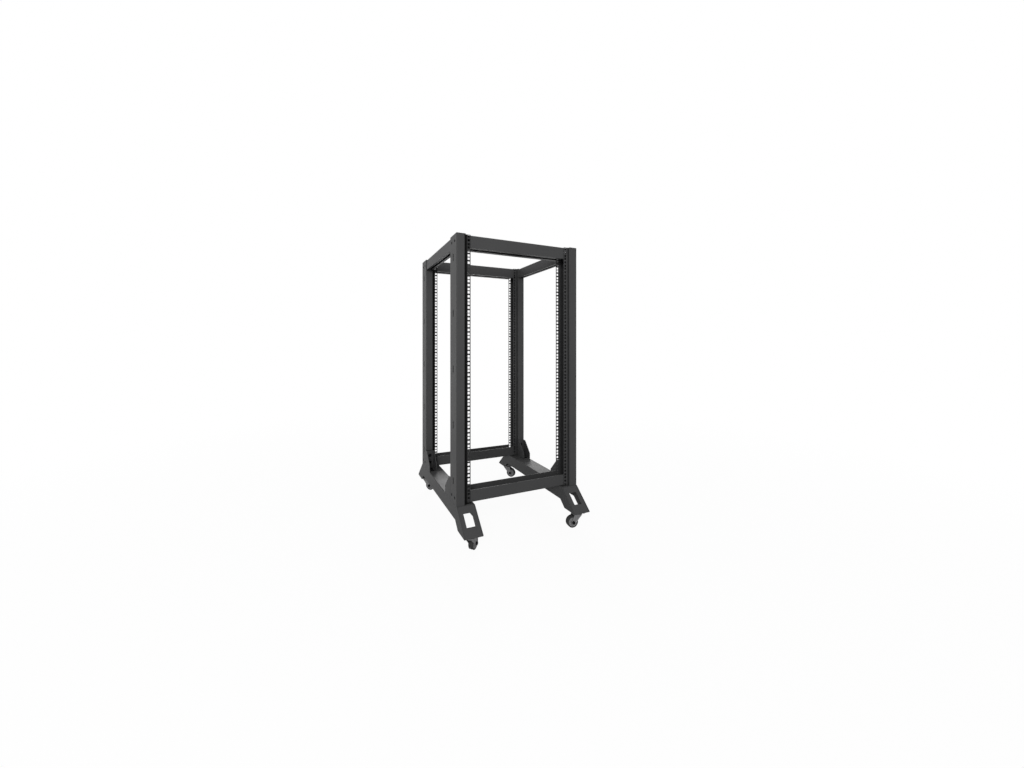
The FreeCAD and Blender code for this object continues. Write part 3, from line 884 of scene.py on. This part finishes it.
class RACK_OT_castor_wheels(bpy.types.Operator):
    """Turn the tyre and the ribbed centre of each wheel"""
    bl_idname = "rack.castor_wheels"
    bl_label = "Castor wheels"

    def execute(self, context):
        sizes = context.scene.rack_castor
        for end, side in CORNERS:
            where = "%s_%s" % (end, side)
            joint = JOINTS["roll_" + where]
            place = frame_of(joint["pos_m"], (0, 0, 1), joint["axis"])
            tyre = mesh_from("wheel_tyre_" + where, lambda work: self.tyre(work, sizes))
            tyre.transform(place)
            add_piece("wheel_tyre_" + where, tyre, "wheel_" + where,
                      "tyre_rubber", ["castor_tyre_" + where])
            centre = mesh_from("wheel_centre_" + where, lambda work: self.centre(work, sizes))
            centre.transform(place)
            add_piece("wheel_centre_" + where, centre, "wheel_" + where,
                      "moulded_grey", ["castor_hub_" + where])
        return {"FINISHED"}

    @staticmethod
    def tyre(work, sizes):
        """A ring whose tread tapers to a thin lip at each side, with a fine mould line."""
        inner, outer, half, curve = sizes.rim, sizes.wheel, sizes.tyre_half, sizes.shoulder
        bevel, slope, line, line_floor = 1.0 * MM, 1.2 * MM, 0.5 * MM, 0.2 * MM
        side = [(inner, half - slope), (inner + bevel, half), (outer - curve, half)]
        # The arc runs from the tread back to the side, which closes the lip.
        side += arc((outer - curve, half - curve), curve, 0, 90, 6)[1:]
        side += [(outer, line), (outer - sizes.groove, line_floor)]
        lathe(work, mirrored(side), 96)

    @staticmethod
    def centre(work, sizes):
        """A dished disc with a boss, a rim and ribs between them on both faces."""
        bore, boss, bowl = 4.05 * MM, 8.5 * MM, 16.2 * MM
        face, rim, web = 11 * MM, 8.6 * MM, 2.6 * MM
        lead, round_off, fillet, draft, lip = 0.6 * MM, 0.5 * MM, 1.5 * MM, 0.3 * MM, 0.4 * MM
        side = [(bore, face - lead), (bore + lead, face), (boss - round_off, face),
                (boss, face - round_off), (boss + round_off, web + fillet),
                (boss + round_off + fillet, web), (bowl - fillet, web), (bowl, web + fillet),
                (bowl + draft, rim - lip), (bowl + draft + lip, rim), (sizes.rim, rim)]
        lathe(work, mirrored(side), 64)
        bite, drop, half = 0.3 * MM, 1.4 * MM, sizes.rib_width / 2
        outline = [(boss - bite, -half), (bowl + bite, -half), (bowl + bite, half),
                   (boss - bite, half)]
        for k in range(sizes.ribs):
            turn = Matrix.Rotation(2 * math.pi * k / sizes.ribs, 4, "Z")
            for up in (-1, 1):
                rib = slab(work, outline, *sorted((up * (web - bite), up * (rim - drop))))
                bmesh.ops.transform(work, matrix=turn, verts=rib)


class RACK_OT_castor_forks(bpy.types.Operator):
    """Press the crown and the two beaded legs of each castor fork"""
    bl_idname = "rack.castor_forks"
    bl_label = "Castor forks"

    def execute(self, context):
        sizes = context.scene.rack_castor
        for end, side in CORNERS:
            where = "%s_%s" % (end, side)
            pivot = Vector(JOINTS["swivel_" + where]["pos_m"])
            wheel = Vector(JOINTS["roll_" + where]["pos_m"])
            trail = Vector((wheel.x - pivot.x, wheel.y - pivot.y, 0.0))
            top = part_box("castor_fork_" + where)[1].z
            fork = mesh_from("fork_" + where,
                             lambda work: self.fork(work, sizes, trail.length, wheel.z, top))
            fork.transform(frame_of((pivot.x, pivot.y, 0.0), trail, (0, 0, 1)))
            add_piece("fork_" + where, fork, "castor_" + where, "zinc_plate",
                      ["castor_fork_" + where])
        return {"FINISHED"}

    def fork(self, work, sizes, trail, axle, top):
        """A fork about its kingpin, whose wheel trails along the local X axis."""
        self.crown(work, sizes, top)
        self.legs(work, sizes, trail, axle, top)

    @staticmethod
    def crown(work, sizes, top):
        """A round crown with a hole for the kingpin and a lip turned down round it."""
        sheet, edge, rim = sizes.fork_sheet, 1.0 * MM, sizes.crown
        lip = top - sizes.crown_lip
        lathe(work, [(sizes.kingpin, top - sheet), (sizes.kingpin, top), (rim - edge, top),
                     (rim, top - edge), (rim, lip), (rim - sheet, lip),
                     (rim - sheet, top - sheet)], 64)

    @staticmethod
    def legs(work, sizes, trail, axle, top):
        """Two legs from under the crown to the axle, each with a bead along its edge."""
        corner, gap, steps = 3.5 * MM, 0.2 * MM, 40
        head, height = sizes.leg_head - corner, top - corner - gap
        circles = [(-head, height, corner), (head, height, corner), (trail, axle, sizes.leg_end)]
        rim = hull_of(circles, steps)
        inside, outside = sizes.fork_inside, sizes.fork_inside + sizes.fork_sheet
        bevel, flat, slope, bead = 0.4 * MM, 1.5 * MM, 0.9 * MM, outside + sizes.leg_bead
        section = [(0.0, inside), (0.0, bead - bevel), (bevel, bead), (bevel + flat, bead),
                   (bevel + flat + slope, outside)]
        for out in (-1, 1):
            loops = []
            for inset, level in section:
                loops.append([work.verts.new((circles[k][0] + (circles[k][2] - inset) * way[0],
                                              out * level,
                                              circles[k][1] + (circles[k][2] - inset) * way[1]))
                              for k, way in rim])
            for first, second in zip(loops, loops[1:]):
                wall(work, first, second)
            work.faces.new(loops[0])
            work.faces.new(loops[-1])


class RACK_OT_stage(bpy.types.Operator):
    """Put the floor, the light and the camera round the rack"""
    bl_idname = "rack.stage"
    bl_label = "Studio"

    def execute(self, context):
        self.floor(context.scene.rack_stage)
        self.world(context.scene)
        self.lamp("front_panel", place=(-1.6, -2.5, 1.75), target=(0.0, 0.0, 0.65),
                  size=1.0, power=42.0)
        self.lamp("rear_panel", place=(1.3, 3.0, 1.7), target=(0.1, 0.0, 0.15),
                  size=1.6, power=45.0)
        self.camera(context.scene)
        return {"FINISHED"}

    def floor(self, sizes):
        """A sheet of paper on which the rack's shadow shows."""
        half = sizes.floor / 2
        mesh = bpy.data.meshes.new("studio_floor")
        mesh.from_pydata([(-half, -half, 0), (half, -half, 0), (half, half, 0),
                          (-half, half, 0)], [], [(0, 1, 2, 3)])
        floor = bpy.data.objects.new("studio_floor", mesh)
        bpy.context.scene.collection.objects.link(floor)
        mesh.materials.append(self.paper(sizes.fade))

    @staticmethod
    def paper(fade):
        """White where it is seen, with a faint shadow near the rack, and grey where it lights."""
        material = bpy.data.materials.new("studio_floor")
        material.use_nodes = True
        material.node_tree.nodes.clear()
        recipe = Recipe(material.node_tree)
        place = recipe.node("ShaderNodeTexCoord", {}, {}, "Object")
        away = recipe.node("ShaderNodeVectorMath", {"operation": "LENGTH"}, {0: place}, "Value")
        far = (away / fade).clamped()
        grain = recipe.node("ShaderNodeTexNoise", {}, {"Vector": place, "Scale": 5.0})
        grey = recipe.mix(grain, (0.59, 0.59, 0.59, 1), (0.61, 0.61, 0.61, 1))
        seen = recipe.node("ShaderNodeLightPath", {}, {}, "Is Camera Ray")
        matt = recipe.node("ShaderNodeBsdfDiffuse", {},
                           {"Color": recipe.mix(seen, grey, (0.98, 0.98, 0.98, 1))})
        white = recipe.node("ShaderNodeEmission", {}, {"Color": (1, 1, 1, 1), "Strength": 1.0})
        in_gloss = recipe.seen_directly() - seen
        # How white the paper glows close to the rack; far away it glows fully.
        near_seen, near_gloss = 0.94, 0.3
        glow = (seen * (near_seen + far * (1.0 - near_seen))
                + in_gloss * (near_gloss + far * (1.0 - near_gloss)))
        mixed = recipe.node("ShaderNodeMixShader", {}, {0: glow.clamped(), 1: matt, 2: white})
        recipe.node("ShaderNodeOutputMaterial", {}, {"Surface": mixed})
        return material

    @staticmethod
    def world(scene):
        """White where it is seen, and dimmer where it lights the rack."""
        world = bpy.data.worlds.new("studio_light")
        world.use_nodes = True
        world.node_tree.nodes.clear()
        recipe = Recipe(world.node_tree)
        dim = 0.38
        light = recipe.node("ShaderNodeBackground", {}, {
            "Color": (1, 1, 1, 1), "Strength": dim + recipe.seen_directly() * (1.0 - dim)})
        recipe.node("ShaderNodeOutputWorld", {}, {"Surface": light})
        scene.world = world

    @staticmethod
    def lamp(name, place, target, size, power):
        light = bpy.data.lights.new(name, "AREA")
        light.shape = "SQUARE"
        light.size = size
        light.energy = power
        lamp = bpy.data.objects.new(name, light)
        lamp.location = place
        way = Vector(target) - Vector(place)
        lamp.rotation_euler = way.to_track_quat("-Z", "Y").to_euler()
        bpy.context.scene.collection.objects.link(lamp)

    @staticmethod
    def camera(scene):
        data = bpy.data.cameras.new("studio_camera")
        data.sensor_width = 36.0
        data.lens = 12.153
        data.shift_x = 0.0382
        data.shift_y = -0.0365
        data.clip_end = 200.0
        camera = bpy.data.objects.new("studio_camera", data)
        camera.location = (-0.740, -1.5331, 0.7787)
        camera.rotation_euler = (math.radians(90), 0, math.radians(-22.407))
        scene.collection.objects.link(camera)
        scene.camera = camera
        scene.view_settings.view_transform = "Standard"


class RACK_PT_panel(bpy.types.Panel):
    """Lists what dresses the rack"""
    bl_idname = "RACK_PT_panel"
    bl_label = "Open frame rack"
    bl_space_type = "VIEW_3D"
    bl_region_type = "UI"
    bl_category = "Rack"

    def draw(self, context):
        for operator in OPERATORS:
            self.layout.operator(operator.bl_idname)
        for group in SETTINGS:
            box = self.layout.box()
            for name in SETTINGS[group].__annotations__:
                box.prop(getattr(context.scene, group), name)


OPERATORS = (RACK_OT_finish_frame, RACK_OT_notched_beams, RACK_OT_lipped_rails,
             RACK_OT_post_screws, RACK_OT_gusset_bolts, RACK_OT_rail_bolts,
             RACK_OT_castor_bolts, RACK_OT_castor_wheels, RACK_OT_castor_forks, RACK_OT_stage)
SETTINGS = {"rack_colours": RackColours, "rack_post_screw": ScrewSizes,
            "rack_bolt": ScrewSizes, "rack_nut": ScrewSizes, "rack_places": ScrewPlaces,
            "rack_beam": BeamSizes, "rack_castor": CastorSizes, "rack_stage": StageSizes}
GROUPS = (RackColours, ScrewSizes, ScrewPlaces, BeamSizes, CastorSizes, StageSizes)
CLASSES = GROUPS + OPERATORS + (RACK_PT_panel,)
SCREW_KINDS = {
    "rack_post_screw": {"head": 8 * MM, "top": 11.2 * MM, "height": 1.5 * MM,
                        "washer": 7 * MM, "washer_height": 0.2 * MM,
                        "key": 5 * MM, "key_depth": 1.3 * MM},
    "rack_bolt": {"head": 12.5 * MM, "top": 12 * MM, "height": 4 * MM, "sides": 6,
                  "washer": 16 * MM, "washer_height": 1.2 * MM,
                  "key": 7 * MM, "key_depth": 2.5 * MM, "key_sides": 16},
    "rack_nut": {"head": 11.5 * MM, "top": 11 * MM, "height": 4.6 * MM, "sides": 6,
                 "washer": 12 * MM, "washer_height": 0.6 * MM,
                 "key": 5.6 * MM, "key_depth": 0.8 * MM, "key_sides": 16},
}


def register():
    for item in CLASSES:
        bpy.utils.register_class(item)
    for name, group in SETTINGS.items():
        setattr(bpy.types.Scene, name, PointerProperty(type=group))


def unregister():
    for name in SETTINGS:
        delattr(bpy.types.Scene, name)
    for item in reversed(CLASSES):
        bpy.utils.unregister_class(item)


def size_screws(scene):
    """Give each kind of screw its own sizes."""
    for kind, sizes in SCREW_KINDS.items():
        for name, value in sizes.items():
            setattr(getattr(scene, kind), name, value)


def main():
    """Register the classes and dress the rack."""
    register()
    size_screws(bpy.context.scene)
    for operator in OPERATORS:
        family, name = operator.bl_idname.split(".")
        getattr(getattr(bpy.ops, family), name)()


if __name__ == "__main__":
    main()
